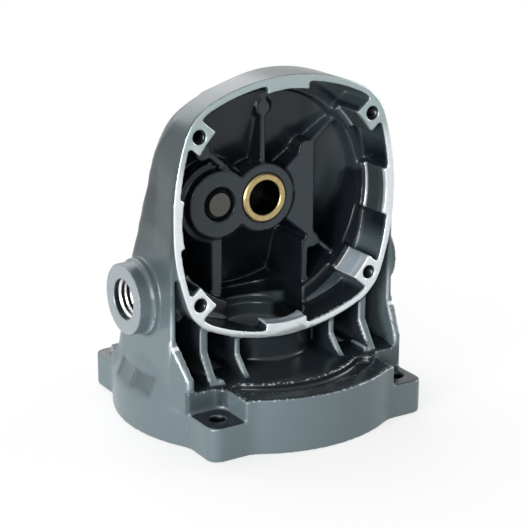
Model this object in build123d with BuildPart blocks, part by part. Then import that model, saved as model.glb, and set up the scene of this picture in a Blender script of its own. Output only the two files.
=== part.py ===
"""Gearbox housing of a large angle grinder, standing on its motor flange.

Frame, in millimetres: the Z axis is the armature axis and z = 0 is the face
that bolts to the motor body. The gear chamber opens towards -Y, the two side
handle bosses point along -X and +X, and the spindle axis is parallel to Y.
"""
import os
from math import atan2, cos, degrees, radians, sin, tan

from build123d import *

os.makedirs("parts", exist_ok=True)

# Spindle axis and the machined rim around the gear chamber
spindle_z = 75.2           # height of the spindle axis over the motor face
rim_y = 21.0               # the rim face lies at y = -rim_y
plate_y = 19.8             # fronts of walls and ribs lie at y = -plate_y
rim_top = 45.3             # rim half height about the spindle axis
rim_side = 44.05           # rim half width
rim_top_r = 70.0           # large arcs along the top and bottom of the rim
rim_side_r = 85.5          # large arcs along its sides
rim_corner_r = 18.0
rim_wall = 2.5             # wall left outside the pockets

# Register bore for the bearing cover, and the deep gear chamber behind it
lead_r = 40.5              # lead-in of the register, first few millimetres
lead_depth = 3.1
register_r = 40.1
register_depth = 11.7
chamber_r = 38.0
shoulder_depth = 14.3      # the chamber starts this far behind the rim face
pad_half = 8.1             # half width of the four plain register pads
lug_half = 4.8             # half width of the four screw lugs

# Cover screws, M5, drawn at the pitch diameter of the thread
cover_dx = 34.0
cover_dz = 28.5
cover_r = 2.25
cover_mouth_r = 2.8
cover_depth = 12.0

# Side walls and leaning back of the head
wall_top_x = 44.05         # half width of the body at the spindle axis
wall_foot_x = 45.5         # half width of the body at the flange
side_wall = 2.6
back_wall = 3.6
back_y = 10.6              # outside of the back at the height of the spindle
back_lean = 18.0           # degrees the back leans from upright
back_corner_r = 14.0
back_inner_r = 20.0        # inside, the same corners are filled out more
top_round = 9.0            # rounding of the back edge at the top
side_round = 16.0          # and on the sides
round_spread = 65.0        # degrees from the top over which it grows
round_angles = range(12, 169, 12)
head_depth = 60.0          # rough length the fronts are drawn back before trimming
wedge_foot = 57.5          # down to here the narrow gap beside the head is filled

# Motor flange
flange_r = 51.0
flange_h = 19.4
lug_corner = 43.0          # half size of the square through the four lugs
lug_corner_r = 4.5
lug_blend_r = 10.0
lug_h = 12.1               # height of the pads under the motor screws
notch_x = 30.0             # the pads start outside these two half widths
notch_y = 27.9
notch_r = 4.5
motor_dx = 36.2            # motor screws
motor_dy = 34.6
motor_hole_r = 2.75
spigot_r = 45.0            # register for the motor body
spigot_depth = 6.0
fan_r = 43.5               # fan space above the register
fan_step = 9.4             # it narrows here, to clear the screw notches
fan_upper_r = 38.0
fan_top = 14.5
cone_low = 12.0            # left and right the flange leans in above this height
cone_high = 25.0           # and meets the side walls here

# Neck with the armature bearing seat
neck_r = 19.6
shelf_neck_z = 20.8        # the shelf round the neck slopes from here
shelf_r = 37.0             # down to the flange top at this radius
groove_r = 43.6
groove_z = 16.6
groove_half_angle = 43.0
bearing_r = 16.0           # outer ring of a 32 mm bearing, which goes in from the motor side
seat_top = 25.5            # shoulder that the bearing rests on
collar_r = 12.5            # opening left over the bearing
neck_top = 37.0
dish_r = 16.6              # opening of the neck into the gear chamber
dish_floor = 31.5
dish_top = 42.0

# Ribs and feet under the rim, mirrored left and right
outer_rib_x = 32.3
outer_rib_t = 3.1
outer_rib_knee = 29.4
inner_rib_x = 19.3
inner_rib_t = 2.2
inner_rib_knee = 26.6
rib_foot_y = 26.8
wall_knee = 35.2
wall_foot_y = 30.3
wall_foot_in = 42.6        # outside of the wall foot, at the screw notch
gusset_x = 29.4
gusset_t = 1.8
gusset_z = 21.6

# Air windows through the shelf into the fan space
window_front = 13.3
window_back = 11.0
windows = ((21.2, 30.2), (34.8, 40.8))   # inner and outer x of each window

# Side handle bosses, M14 x 2, drawn at the major diameter of the thread
handle_z = 46.1
handle_face = 52.3
handle_boss_r = 12.25
handle_collar_r = 13.2
handle_collar_x = 47.3
handle_inner_r = 10.5
handle_inner_x = 33.6
handle_r = 7.0
handle_mouth_r = 7.35
handle_depth = 16.0

# Spindle bush and its boss in the back wall
boss_y = 5.8               # boss faces lie at y = -boss_y
bush_boss_r = 12.15
bush_od_r = 8.5
bush_bore_r = 6.0
bush_len = 11.0
bush_proud = 0.5           # the bush stands out of its boss by this much
bush_chamfer = 0.9

# Spindle lock: pin, return spring and button on one axis beside the bush
lock_x = -17.6
lock_boss_r = 11.9
lock_step_r = 14.4
lock_step_y = 2.6
lock_head_r = 4.05
lock_head_y = 5.6          # end of the pin, nearly flush with the boss
lock_floor_y = 3.1         # floor of the counterbore the head rests on
lock_counter_r = 5.8
lock_shank_r = 3.25
lock_clear = 0.05          # running clearance of the shank
lock_land_r = 11.2
lock_land_y = 15.0
button_r = 8.2
button_clear = 0.3
button_floor_y = 8.4
button_skirt_y = 13.2
button_top_y = 19.0
button_inner_r = 6.8
button_roof_y = 16.8
button_chamfer = 0.9
button_stub_r = 4.4
button_stub_y = 12.6
lock_end_y = 17.8
spring_pocket_r = 6.2
spring_pocket_y = 3.6
spring_r = 5.2
spring_wire = 0.4
spring_turns = 4
wire_sides = 8              # round wire and seal are drawn with eight flats, to keep the mesh light
seal_y = 2.4                 # stays inside the bore over the whole travel
seal_groove_r = 2.45
seal_wire = 0.42

# Cast ribs and ejector pads on the inside of the back wall
inner_rib_face = 4.8
web_t = 2.1
lock_web_t = 4.6
lock_web_face = 3.6
web_top = 22.0
panel_x = 21.5             # right edge of the raised panel between the right spokes
pad_r = 3.1
ejector_pads = ((0, 31.3, 5.1), (-23.6, 18.6, 5.1), (20.6, -18.6, 5.1), (18.0, 14.9, 4.8))

lean = tan(radians(back_lean))
lean_dir = Vector(0, -lean, 1).normalized()
back_y0 = back_y + lean * spindle_z          # outside of the back at z = 0
rim_plane = Plane.XZ.offset(rim_y)
front_plane = Plane.XZ.offset(plate_y)
lug_angle = degrees(atan2(cover_dz, cover_dx))


def rim_outline(grow=0.0):
    """Rim outline about the spindle axis, drawn in the current sketch."""
    up = rim_top + grow
    side = rim_side + grow
    with Locations((0, spindle_z + up - rim_top_r)):
        Circle(rim_top_r)
    with Locations((0, spindle_z - up + rim_top_r)):
        Circle(rim_top_r, mode=Mode.INTERSECT)
    with Locations((side - rim_side_r, spindle_z)):
        Circle(rim_side_r, mode=Mode.INTERSECT)
    with Locations((rim_side_r - side, spindle_z)):
        Circle(rim_side_r, mode=Mode.INTERSECT)


def rim_reach(angle):
    """Distance from the spindle axis to the tangent of the rim outline facing an angle."""
    turn = Vector(cos(radians(angle)), sin(radians(angle)), 0)
    with BuildSketch() as flat:
        rim_outline()
        fillet(flat.vertices(), rim_corner_r)
    points = [e @ (k / 20) for e in flat.edges() for k in range(21)]
    return max((q - Vector(0, spindle_z, 0)).dot(turn) for q in points)


with BuildPart() as housing:
    # Side walls and back, one leaning band open to the front
    with BuildSketch(Plane.XY) as band:
        with Locations((0, (back_y0 - head_depth) / 2)):
            Rectangle(2 * wall_foot_x, back_y0 + head_depth)
        fillet(band.vertices().group_by(Axis.Y)[-1], back_corner_r)
        with BuildSketch(mode=Mode.SUBTRACT) as band_in:
            with Locations((0, (back_y0 - back_wall - head_depth) / 2)):
                Rectangle(2 * (wall_foot_x - side_wall), back_y0 - back_wall + head_depth)
            fillet(band_in.vertices().group_by(Axis.Y)[-1], back_inner_r)
    extrude(amount=145, dir=lean_dir)

    # Thick tube of the head, its inside is the deep gear chamber
    with BuildSketch(front_plane) as head:
        rim_outline()
        fillet(head.vertices(), rim_corner_r)
        with Locations((0, spindle_z)):
            Circle(chamber_r, mode=Mode.SUBTRACT)
    extrude(amount=-head_depth)

    # The head curves away from the side walls, and the thin end of that gap is filled
    for side in (-1, 1):
        with Locations((side * (wall_foot_x - side_wall), -plate_y, wedge_foot)):
            Box(2 * side_wall, head_depth, 8, align=(Align.CENTER, Align.MIN, Align.MIN))

    # Neck round the armature bearing
    with BuildSketch(Plane.XY.offset(fan_top)):
        Circle(neck_r)
    extrude(amount=neck_top - fan_top)

    # Ribs between flange, side walls and head
    for x, t in ((outer_rib_x, outer_rib_t), (inner_rib_x, inner_rib_t)):
        for side in (-1, 1):
            with Locations((side * x, -plate_y, fan_top)):
                Box(t, head_depth, spindle_z - rim_top + 12 - fan_top,
                    align=(Align.CENTER, Align.MIN, Align.MIN))

    # Inner ends of the handle bosses
    for side in (-1, 1):
        with BuildSketch(Plane.YZ.offset(side * handle_inner_x)):
            with Locations((0, handle_z)):
                Circle(handle_inner_r)
        extrude(amount=side * (wall_foot_x - side_wall / 2 - handle_inner_x))

    # Boss of the spindle bush, boss of the lock pin with its lower step
    with BuildSketch(Plane.XZ.offset(boss_y)):
        with Locations((0, spindle_z)):
            Circle(bush_boss_r)
        with Locations((lock_x, spindle_z)):
            Circle(lock_boss_r)
    extrude(amount=-head_depth)
    with BuildSketch(Plane.XZ.offset(lock_step_y)):
        with Locations((lock_x, spindle_z)):
            Circle(lock_step_r)
    extrude(amount=-head_depth)

    # Spokes on the inside of the back wall, from the bush boss outwards
    for angle in (90, 180 - lug_angle, lug_angle, -lug_angle):
        with BuildSketch(Plane.XZ.offset(inner_rib_face)):
            with Locations(Location((0, spindle_z), angle)):
                with Locations((bush_boss_r / 2 + chamber_r / 2, 0)):
                    Rectangle(chamber_r - bush_boss_r + 4, web_t)
        extrude(amount=-head_depth)

    # Raised panel that fills the space between the two spokes on the right
    with BuildSketch(Plane.XZ.offset(inner_rib_face)):
        with Locations((0, spindle_z)):
            Polygon((0, 0), (panel_x, -panel_x * tan(radians(lug_angle))),
                    (panel_x, panel_x * tan(radians(lug_angle))), align=None)
    extrude(amount=-head_depth)

    # Upright webs under the lock pin and opposite it
    with BuildSketch(Plane.XZ.offset(lock_web_face)):
        with Locations((lock_x, spindle_z - chamber_r / 2)):
            Rectangle(lock_web_t, chamber_r)
    extrude(amount=-head_depth)
    with BuildSketch(Plane.XZ.offset(inner_rib_face)):
        with Locations((-lock_x, spindle_z - 18)):
            Rectangle(web_t + 0.6, 2 * web_top - 4, align=(Align.CENTER, Align.MAX))
    extrude(amount=-head_depth)

    # Round ejector pads on the spokes
    for x, z, face in ejector_pads:
        with BuildSketch(Plane.XZ.offset(face)):
            with Locations((x, spindle_z + z)):
                Circle(pad_r)
        extrude(amount=-head_depth)

    # Trim to the outline seen from the front, then to the leaning back
    with BuildSketch(front_plane) as outline:
        rim_outline()
        fillet(outline.vertices(), rim_corner_r)
        Polygon((-wall_top_x, spindle_z), (wall_top_x, spindle_z), (wall_foot_x, flange_h),
                (wall_foot_x, fan_top), (-wall_foot_x, fan_top), (-wall_foot_x, flange_h),
                align=None)
    extrude(amount=-head_depth, mode=Mode.INTERSECT)
    with BuildSketch(Plane.XY) as prism:
        with Locations((0, (back_y0 - head_depth) / 2)):
            Rectangle(2 * wall_foot_x, back_y0 + head_depth)
        fillet(prism.vertices().group_by(Axis.Y)[-1], back_corner_r)
    extrude(amount=145, dir=lean_dir, mode=Mode.INTERSECT)

    # Rounding along the upper edge of the back, one straight cut per direction
    for angle in round_angles:
        reach = rim_reach(angle)
        edge_r = top_round + (side_round - top_round) * min(1, abs(90 - angle) / round_spread)
        across = Vector(cos(radians(angle)), 0, sin(radians(angle)))
        along = Vector(-across.Z, -lean * across.X, across.X).normalized()
        start = Vector(0, 0, spindle_z) - along * rim_side
        corner_y = back_y - lean * reach * across.Z
        with BuildSketch(Plane(start, x_dir=(0, 1, 0), z_dir=Vector(0, 1, 0).cross(across))):
            Polygon((corner_y - edge_r, reach - 2 * edge_r), (corner_y - 2 * edge_r, reach),
                    (corner_y - 2 * edge_r, reach + 20), (corner_y + 30, reach + 20),
                    (corner_y + 30, reach - 2 * edge_r), align=None)
            with BuildSketch(mode=Mode.SUBTRACT) as kept:
                Polygon((corner_y - 40, reach - 40), (corner_y - 40, reach), (corner_y, reach),
                        (corner_y + 40 * lean * across.Z, reach - 40), align=None)
                fillet(kept.vertices().sort_by_distance((corner_y, reach))[0], edge_r)
        extrude(amount=2 * rim_side, dir=along, mode=Mode.SUBTRACT)

    # Feet of the side walls, sloping down to the screw notches
    for side in (-1, 1):
        with BuildSketch(Plane.XY.offset(fan_top)):
            Polygon((side * wall_foot_x, -plate_y + 1), (side * wall_foot_x, -plate_y),
                    (side * wall_foot_in, -wall_foot_y),
                    (side * (wall_foot_in - side_wall), -wall_foot_y),
                    (side * (wall_foot_x - side_wall), -plate_y + 1), align=None)
        extrude(amount=wall_knee - fan_top)
    with BuildSketch(Plane.YZ) as slope:
        Polygon((-plate_y, wall_knee), (-plate_y, wall_knee + 10), (-wall_foot_y - 5, wall_knee + 10),
                (-wall_foot_y - 5, flange_h), (-wall_foot_y, flange_h + 1), align=None)
    extrude(amount=wall_foot_x + 1, both=True, mode=Mode.SUBTRACT)

    # Feet of the four ribs
    for x, t, knee in ((outer_rib_x, outer_rib_t, outer_rib_knee),
                       (inner_rib_x, inner_rib_t, inner_rib_knee)):
        for side in (-1, 1):
            with BuildSketch(Plane.YZ.offset(side * x)):
                Polygon((-plate_y + 1, knee), (-plate_y, knee), (-rib_foot_y, flange_h),
                        (-rib_foot_y, fan_top), (-plate_y + 1, fan_top), align=None)
            extrude(amount=t / 2, both=True)

    # Motor flange with four screw lugs
    with BuildSketch(Plane.XY) as flange:
        RectangleRounded(2 * lug_corner, 2 * lug_corner, lug_corner_r)
        Circle(flange_r)
        inward = [v for v in flange.vertices() if abs((v.X ** 2 + v.Y ** 2) ** 0.5 - flange_r) < 0.01]
        fillet(inward, lug_blend_r)
    extrude(amount=flange_h)

    # Left and right the flange slopes in and runs up to the side walls
    with BuildSketch(Plane.XZ) as outside:
        Polygon((flange_r, cone_low), (flange_r + 4, cone_low), (flange_r + 4, cone_high),
                (wall_foot_x, cone_high), align=None)
    above_cone = revolve(axis=Axis.Z, mode=Mode.PRIVATE)
    with BuildSketch(Plane.XZ) as inside:
        Polygon((wall_foot_x - side_wall, cone_low), (flange_r, cone_low),
                (wall_foot_x, cone_high), (wall_foot_x - side_wall, cone_high), align=None)
    under_cone = revolve(axis=Axis.Z, mode=Mode.PRIVATE)
    for side in (-1, 1):
        with BuildSketch(Plane.XY) as free:
            Polygon((side * wall_foot_x, wall_foot_y), (side * wall_foot_x, -plate_y),
                    (side * wall_foot_in, -wall_foot_y), (side * (flange_r + 5), -wall_foot_y),
                    (side * (flange_r + 5), wall_foot_y), align=None)
        beyond = extrude(amount=cone_high + 1, mode=Mode.PRIVATE)
        with Locations((side * (wall_foot_x - side_wall + 10), 0, flange_h)):
            beside = Box(20, 2 * flange_r, 20, mode=Mode.PRIVATE)
        add(beyond & above_cone, mode=Mode.SUBTRACT)
        add(beside & under_cone)

    # Sloping shelf from the neck down to the flange top
    with BuildSketch(Plane.XZ):
        Polygon((0, fan_top), (0, shelf_neck_z), (neck_r, shelf_neck_z), (shelf_r, flange_h),
                (shelf_r, fan_top), align=None)
    revolve(axis=Axis.Z)

    # Groove behind the front lip, a sector about the front
    with BuildSketch(Plane.XY.offset(groove_z)) as groove:
        Circle(groove_r)
        Circle(shelf_r, mode=Mode.SUBTRACT)
        Polygon((0, 0), (-60 * tan(radians(groove_half_angle)), -60),
                (60 * tan(radians(groove_half_angle)), -60), align=None, mode=Mode.INTERSECT)
        fillet(groove.vertices(), (groove_r - shelf_r) / 2 - 0.2)
    extrude(amount=flange_h, mode=Mode.SUBTRACT)

    # Low gussets beside the outer ribs
    for side in (-1, 1):
        with Locations((side * gusset_x, -plate_y + 2, fan_top)):
            Box(gusset_t, rib_foot_y - plate_y + 2, gusset_z - fan_top,
                align=(Align.CENTER, Align.MAX, Align.MIN))

    # Notches over the motor screws
    for sx in (-1, 1):
        for sy in (-1, 1):
            with BuildSketch(Plane.XY.offset(lug_h)):
                with Locations((sx * (notch_x + 10), sy * (notch_y + 10))):
                    RectangleRounded(20, 20, notch_r)
                with Locations((sx * (notch_x + 14), sy * (notch_y + 14))):
                    Rectangle(20, 20)
            extrude(amount=12, mode=Mode.SUBTRACT)

    # Rim plate, proud of the walls
    with BuildSketch(rim_plane) as rim:
        rim_outline()
        fillet(rim.vertices(), rim_corner_r)
    extrude(amount=-(rim_y - plate_y))

    # Handle bosses outside, with a collar at the wall
    for side in (-1, 1):
        with BuildSketch(Plane.YZ.offset(side * handle_face)):
            with Locations((0, handle_z)):
                Circle(handle_boss_r)
        extrude(amount=-side * (handle_face - wall_top_x))
        with BuildSketch(Plane.YZ.offset(side * handle_collar_x)):
            with Locations((0, handle_z)):
                Circle(handle_collar_r)
        extrude(amount=-side * (handle_collar_x - wall_top_x))

    # Outer land of the lock button
    with BuildSketch(Plane.XZ.offset(-lock_land_y)):
        with Locations((lock_x, spindle_z)):
            Circle(lock_land_r)
    extrude(amount=lock_land_y - button_floor_y + 4)

    # Register and pockets behind the rim face
    with BuildSketch(rim_plane) as register:
        rim_outline(-rim_wall)
        fillet(register.vertices(), rim_corner_r - rim_wall)
        with Locations((0, spindle_z)):
            with Locations((rim_top, 0), (-rim_top, 0)):
                Rectangle(2 * (rim_top - register_r + 3), 2 * pad_half, mode=Mode.SUBTRACT)
            with Locations((0, rim_top), (0, -rim_top)):
                Rectangle(2 * pad_half, 2 * (rim_top - register_r + 3), mode=Mode.SUBTRACT)
            for angle in (lug_angle, 180 - lug_angle, -lug_angle, lug_angle - 180):
                with Locations(Location((0, 0), angle)):
                    with Locations((rim_top + 5, 0)):
                        Rectangle(2 * (rim_top + 5 - register_r + 3), 2 * lug_half, mode=Mode.SUBTRACT)
            Circle(register_r - 1.5)
    extrude(amount=-shoulder_depth, mode=Mode.SUBTRACT)
    with BuildSketch(rim_plane):
        with Locations((0, spindle_z)):
            Circle(register_r)
    extrude(amount=-register_depth, mode=Mode.SUBTRACT)
    with BuildSketch(rim_plane):
        with Locations((0, spindle_z)):
            Circle(lead_r)
    extrude(amount=-lead_depth, mode=Mode.SUBTRACT)

    # Cover screw holes with a small mouth chamfer
    for x in (-cover_dx, cover_dx):
        for z in (spindle_z - cover_dz, spindle_z + cover_dz):
            with BuildSketch(rim_plane):
                with Locations((x, z)):
                    Circle(cover_r)
            extrude(amount=-cover_depth, mode=Mode.SUBTRACT)
            with BuildSketch(rim_plane):
                with Locations((x, z)):
                    Circle(cover_mouth_r)
            extrude(amount=-(cover_mouth_r - cover_r), taper=45, mode=Mode.SUBTRACT)

    # Handle threads, blind bores with a mouth chamfer
    for side in (-1, 1):
        with BuildSketch(Plane.YZ.offset(side * handle_face)):
            with Locations((0, handle_z)):
                Circle(handle_r)
        extrude(amount=-side * handle_depth, mode=Mode.SUBTRACT)
        with BuildSketch(Plane.YZ.offset(side * handle_face)):
            with Locations((0, handle_z)):
                Circle(handle_mouth_r)
        extrude(amount=-side * (handle_mouth_r - handle_r), taper=45, mode=Mode.SUBTRACT)

    # Armature bearing seat, open to the fan space, and its opening up to the gears
    with BuildSketch(Plane.XY):
        Circle(collar_r)
    extrude(amount=dish_top, mode=Mode.SUBTRACT)
    with BuildSketch(Plane.XY):
        Circle(bearing_r)
    extrude(amount=seat_top, mode=Mode.SUBTRACT)
    with BuildSketch(Plane.XY.offset(dish_floor)):
        Circle(dish_r)
    extrude(amount=dish_top - dish_floor, mode=Mode.SUBTRACT)

    # Motor register and fan space
    with BuildSketch(Plane.XY):
        Circle(spigot_r)
    extrude(amount=spigot_depth, mode=Mode.SUBTRACT)
    with BuildSketch(Plane.XY):
        Circle(fan_r)
    extrude(amount=fan_step, mode=Mode.SUBTRACT)
    with BuildSketch(Plane.XY):
        Circle(fan_upper_r)
    extrude(amount=fan_top, mode=Mode.SUBTRACT)

    # Motor screw holes
    for x in (-motor_dx, motor_dx):
        for y in (-motor_dy, motor_dy):
            with BuildSketch(Plane.XY):
                with Locations((x, y)):
                    Circle(motor_hole_r)
            extrude(amount=lug_h, mode=Mode.SUBTRACT)

    # Air windows through the shelf
    for side in (-1, 1):
        for x0, x1 in windows:
            with Locations((side * (x0 + x1) / 2, (window_back - window_front) / 2, 0)):
                Box(x1 - x0, window_front + window_back, shelf_neck_z,
                    align=(Align.CENTER, Align.CENTER, Align.MIN), mode=Mode.SUBTRACT)

    # Seat of the spindle bush
    with BuildSketch(Plane.XZ.offset(boss_y)):
        with Locations((0, spindle_z)):
            Circle(bush_od_r)
    extrude(amount=-(bush_len - bush_proud), mode=Mode.SUBTRACT)

    # Lock pin: counterbore, running bore, spring pocket and button recess
    for face, radius, depth in ((boss_y, lock_counter_r, boss_y - lock_floor_y),
                                (boss_y, lock_shank_r + lock_clear, boss_y + lock_land_y),
                                (-spring_pocket_y, spring_pocket_r, lock_land_y - spring_pocket_y),
                                (-button_floor_y, button_r + button_clear, lock_land_y - button_floor_y)):
        with BuildSketch(Plane.XZ.offset(face)):
            with Locations((lock_x, spindle_z)):
                Circle(radius)
        extrude(amount=-depth, mode=Mode.SUBTRACT)

housing.part.label = "housing"
export_step(housing.part, "parts/housing.step")

with BuildPart() as spindle_bush:
    with BuildSketch(Plane.XZ.offset(boss_y + bush_proud)):
        with Locations((0, spindle_z)):
            Circle(bush_od_r)
            Circle(bush_bore_r, mode=Mode.SUBTRACT)
    extrude(amount=-bush_len)
    chamfer(spindle_bush.edges().filter_by(GeomType.CIRCLE).group_by(Axis.Y)[0], bush_chamfer * 0.5)

spindle_bush.part.label = "spindle_bush"
export_step(spindle_bush.part, "parts/spindle_bush.step")

with BuildPart() as lock_pin:
    with BuildSketch(Plane.XZ.offset(lock_head_y)):
        with Locations((lock_x, spindle_z)):
            Circle(lock_head_r)
    extrude(amount=-(lock_head_y - lock_floor_y))
    with BuildSketch(Plane.XZ.offset(lock_head_y)):
        with Locations((lock_x, spindle_z)):
            Circle(lock_shank_r)
    extrude(amount=-(lock_head_y + lock_end_y))
    with BuildSketch(Plane.XZ.offset(-seal_y + seal_wire + 0.1)):
        with Locations((lock_x, spindle_z)):
            Circle(lock_shank_r)
            Circle(seal_groove_r, mode=Mode.SUBTRACT)
    extrude(amount=-2 * (seal_wire + 0.1), mode=Mode.SUBTRACT)

lock_pin.part.label = "lock_pin"
export_step(lock_pin.part, "parts/lock_pin.step")

with BuildPart() as lock_seal:
    with BuildSketch(Plane.XY.offset(spindle_z)):
        with Locations((lock_x + lock_shank_r + lock_clear - seal_wire, seal_y)):
            RegularPolygon(seal_wire, wire_sides)
    revolve(axis=Axis((lock_x, 0, spindle_z), (0, 1, 0)))

lock_seal.part.label = "lock_seal"
export_step(lock_seal.part, "parts/lock_seal.step")

with BuildPart() as lock_button:
    with BuildSketch(Plane.XZ.offset(-button_top_y)):
        with Locations((lock_x, spindle_z)):
            Circle(button_r)
    extrude(amount=button_top_y - button_skirt_y)
    chamfer(lock_button.edges().group_by(Axis.Y)[-1], button_chamfer)
    with BuildSketch(Plane.XZ.offset(-button_skirt_y)):
        with Locations((lock_x, spindle_z)):
            Circle(button_inner_r)
    extrude(amount=-(button_roof_y - button_skirt_y), mode=Mode.SUBTRACT)
    with BuildSketch(Plane.XZ.offset(-button_stub_y)):
        with Locations((lock_x, spindle_z)):
            Circle(button_stub_r)
    extrude(amount=-(button_roof_y - button_stub_y))
    with BuildSketch(Plane.XZ.offset(-button_stub_y)):
        with Locations((lock_x, spindle_z)):
            Circle(lock_shank_r)
    extrude(amount=-(lock_end_y - button_stub_y), mode=Mode.SUBTRACT)

lock_button.part.label = "lock_button"
export_step(lock_button.part, "parts/lock_button.step")

with BuildPart() as lock_spring:
    length = button_roof_y - spring_pocket_y - 2 * spring_wire
    with BuildLine():
        coil = Helix(pitch=length / spring_turns, height=length, radius=spring_r,
                     center=(lock_x, spring_pocket_y + spring_wire, spindle_z), direction=(0, 1, 0))
    with BuildSketch(Plane(origin=coil @ 0, z_dir=coil % 0)):
        RegularPolygon(spring_wire, wire_sides)
    sweep(is_frenet=True)

lock_spring.part.label = "lock_spring"
export_step(lock_spring.part, "parts/lock_spring.step")
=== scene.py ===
# %% [markdown]
# # The gearbox housing of a large angle grinder
# The part is one aluminium casting with a milled rim, a brass bush for the spindle and a small
# spring-loaded pin that locks it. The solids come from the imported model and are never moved, so
# this script only gives them the soft edges, the finishes and the fine detail that the real piece
# has. Lengths are in metres: X goes to the right, Y to the back, and Z up from the motor flange.

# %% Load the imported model
from math import cos, pi, radians, sin

import bpy
import numpy as np
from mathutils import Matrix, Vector


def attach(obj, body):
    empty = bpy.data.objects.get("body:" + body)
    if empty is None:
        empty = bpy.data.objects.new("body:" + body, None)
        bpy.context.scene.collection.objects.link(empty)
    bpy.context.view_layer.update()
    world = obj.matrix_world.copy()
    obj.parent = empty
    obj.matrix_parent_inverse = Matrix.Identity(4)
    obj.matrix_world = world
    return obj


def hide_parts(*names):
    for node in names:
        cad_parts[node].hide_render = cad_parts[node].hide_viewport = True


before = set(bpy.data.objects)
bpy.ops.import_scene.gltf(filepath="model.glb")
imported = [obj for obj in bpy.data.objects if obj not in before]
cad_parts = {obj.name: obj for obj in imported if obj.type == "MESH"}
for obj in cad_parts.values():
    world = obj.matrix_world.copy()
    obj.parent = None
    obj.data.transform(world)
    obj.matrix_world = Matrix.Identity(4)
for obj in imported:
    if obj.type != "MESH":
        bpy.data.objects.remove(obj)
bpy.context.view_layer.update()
print("nodes:", sorted(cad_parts))

# %% [markdown]
# ## Camera
# The photograph was taken from the front left and a little above. The position was worked out from
# the rim, the screw holes and the flange, so the object falls on the same pixels as in the
# photograph. Placing a camera by eye would never line up all of those at once.

# %% Camera at the photograph's angle
camera_data = bpy.data.cameras.new("photo_camera")
camera = bpy.data.objects.new("photo_camera", camera_data)
bpy.context.scene.collection.objects.link(camera)
camera.location = (-0.2878, -0.4625, 0.2271)
camera.rotation_euler = (radians(71.96), radians(-0.19), radians(-32.15))
camera_data.lens = 111.48
camera_data.sensor_width = 36.0
camera_data.clip_start = 0.01
bpy.context.scene.camera = camera
print("camera", [round(v, 4) for v in camera.location])

# %% [markdown]
# ## Light and floor
# A product shot like this has soft lamps in a white room: here two on the left, a weaker one on the
# right and a wide one behind and above. The white background is what the camera and the reflections
# see of the world, while the light that the world gives is much weaker, so the hollows stay dark.
# One strong white world would be simpler, but it would wash the chamber out.

# %% Helpers for numbers in a node tree
def math_node(tree, operation, first, second=None, third=None):
    """One sum on numbers or sockets, and its result."""
    node = tree.nodes.new("ShaderNodeMath")
    node.operation = operation
    for slot, value in zip(node.inputs, (first, second, third)):
        if isinstance(value, (int, float)):
            slot.default_value = value
        elif value is not None:
            tree.links.new(value, slot)
    return node.outputs[0]


def fade(tree, value, start, end, low=0.0, high=1.0):
    """From low to high as value goes from start to end, held beyond both."""
    node = tree.nodes.new("ShaderNodeMapRange")
    tree.links.new(value, node.inputs["Value"])
    node.inputs["From Min"].default_value = start
    node.inputs["From Max"].default_value = end
    node.inputs["To Min"].default_value = low
    node.inputs["To Max"].default_value = high
    return node.outputs["Result"]


def seen_by(tree):
    """1 for camera, mirror and glass rays, 0 for the rays that only carry light."""
    rays = tree.nodes.new("ShaderNodeLightPath").outputs
    seen = rays["Is Camera Ray"]
    for kind in ("Is Glossy Ray", "Is Transmission Ray"):
        seen = math_node(tree, "MAXIMUM", seen, rays[kind])
    return seen


print("number helpers ready")

# %% World
WORLD_STRENGTH = 0.28

scene = bpy.context.scene
scene.view_settings.view_transform = "Standard"
world = bpy.data.worlds.new("white_room")
scene.world = world
world.use_nodes = True
nodes, links = world.node_tree.nodes, world.node_tree.links
nodes.clear()
white_room = nodes.new("ShaderNodeBackground")
white_room.inputs["Color"].default_value = (1, 1, 1, 1)
white_room.inputs["Strength"].default_value = 1.0
soft_light = nodes.new("ShaderNodeBackground")
soft_light.inputs["Color"].default_value = (0.93, 0.97, 1, 1)
soft_light.inputs["Strength"].default_value = WORLD_STRENGTH
choice = nodes.new("ShaderNodeMixShader")
out = nodes.new("ShaderNodeOutputWorld")
links.new(seen_by(world.node_tree), choice.inputs["Fac"])
links.new(soft_light.outputs[0], choice.inputs[1])
links.new(white_room.outputs[0], choice.inputs[2])
links.new(choice.outputs[0], out.inputs["Surface"])
print("world gives", WORLD_STRENGTH)

# %% Lamps
AIM = Vector((0, 0, 0.06))


def add_lamp(name, place, size, watts):
    """A square soft lamp at a place in metres, turned to the middle of the housing."""
    data = bpy.data.lights.new(name, "AREA")
    data.shape = "SQUARE"
    data.size = size
    data.energy = watts
    lamp = bpy.data.objects.new(name, data)
    scene.collection.objects.link(lamp)
    lamp.location = place
    lamp.rotation_euler = (AIM - Vector(place)).to_track_quat("-Z", "Y").to_euler()
    print(name, watts, "W")


add_lamp("key_left", (-0.72, -0.30, 0.16), 0.36, 7.0)
add_lamp("front_left", (-0.55, -0.70, 0.30), 0.3, 2.6)
add_lamp("right_edge", (0.7, -0.1, 0.30), 0.4, 2.6)
add_lamp("back_top", (0.0, 0.6, 0.7), 0.9, 6.0)

# %% [markdown]
# ## Floor
# The floor of a product shot runs out to pure white, and a soft shadow under the part shows that it
# stands. So far from the part the camera sees plain white, and near it a share of a real pale floor
# that catches the shadow. Cutting the shadow out as an image would only work from one side.

# %% Lay the floor
HALF_SIDE = 3
GAP_UNDER_PART = 0.0002
SHADOW_STARTS, SHADOW_ENDS = 0.06, 0.16
WHITE_NEAR_PART = 0.70

corners = [(x * HALF_SIDE, y * HALF_SIDE, 0) for x, y in ((-1, -1), (1, -1), (1, 1), (-1, 1))]
floor_mesh = bpy.data.meshes.new("floor")
floor_mesh.from_pydata(corners, [], [(0, 1, 2, 3)])
floor = bpy.data.objects.new("floor", floor_mesh)
scene.collection.objects.link(floor)
floor.location.z = -GAP_UNDER_PART
print("floor", 2 * HALF_SIDE, "m wide")

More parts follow.
